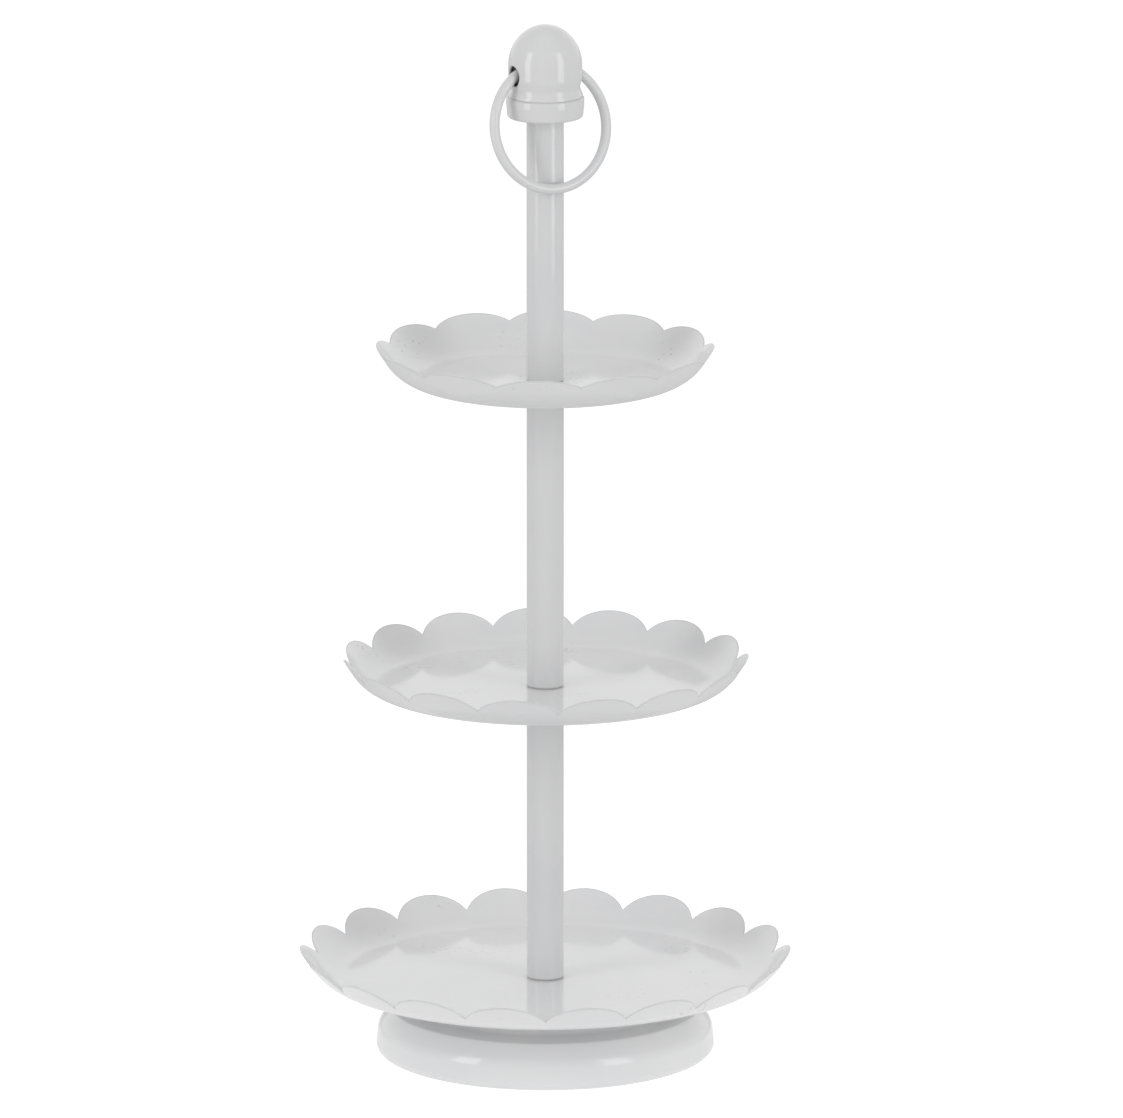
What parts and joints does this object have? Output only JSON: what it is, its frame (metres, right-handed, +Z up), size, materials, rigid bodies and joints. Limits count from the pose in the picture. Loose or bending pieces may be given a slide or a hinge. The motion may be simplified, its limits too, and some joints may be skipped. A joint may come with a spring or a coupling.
{
  "type": "tiered cake stand",
  "caption": "White enamelled cake stand: scalloped round trays on a screw-together tube stem with a domed foot, and a ring handle swinging in the finial.",
  "frame": {"origin": "centre of the foot's rest plane, on the stem's axis", "axes": "+Z up along the stem; X along the line through the finial's two side holes, on which the ring handle swings; the ring hangs on the -Y side"},
  "size_m": [0.2502, 0.2522, 0.5365],
  "materials": {
    "white_enamel": "gloss",
    "zinc_steel": "zinc plated",
    "clear_nylon": "satin"
  },
  "bodies": {
    "stand": {"foot_shell": "white_enamel", "bottom_tray": "white_enamel", "middle_tray": "white_enamel", "top_tray": "white_enamel", "lower_tube": "white_enamel", "middle_tube": "white_enamel", "upper_tube": "white_enamel", "finial_collar": "white_enamel", "finial_dome": "white_enamel", "foot_screw": "zinc_steel", "foot_lock_washer": "zinc_steel", "foot_flat_washer": "zinc_steel", "middle_joint_stud": "zinc_steel", "top_joint_stud": "zinc_steel", "finial_stud": "zinc_steel", "lower_tube_bottom_plug": "zinc_steel", "lower_tube_top_plug": "zinc_steel", "middle_tube_bottom_plug": "zinc_steel", "middle_tube_top_plug": "zinc_steel", "upper_tube_bottom_plug": "zinc_steel", "upper_tube_top_plug": "zinc_steel", "bottom_tray_pad": "clear_nylon", "middle_tray_under_pad": "clear_nylon", "middle_tray_pad": "clear_nylon", "top_tray_under_pad": "clear_nylon", "top_tray_pad": "clear_nylon"},
    "ring": {"ring_handle": "white_enamel"}
  },
  "joints": [
    {"name": "ring_swing", "type": "hinge", "parent": "stand", "child": "ring", "pos_m": [0, 0, 0.5107], "axis": [-1, 0, 0], "range_deg": [0, 335]}
  ]
}
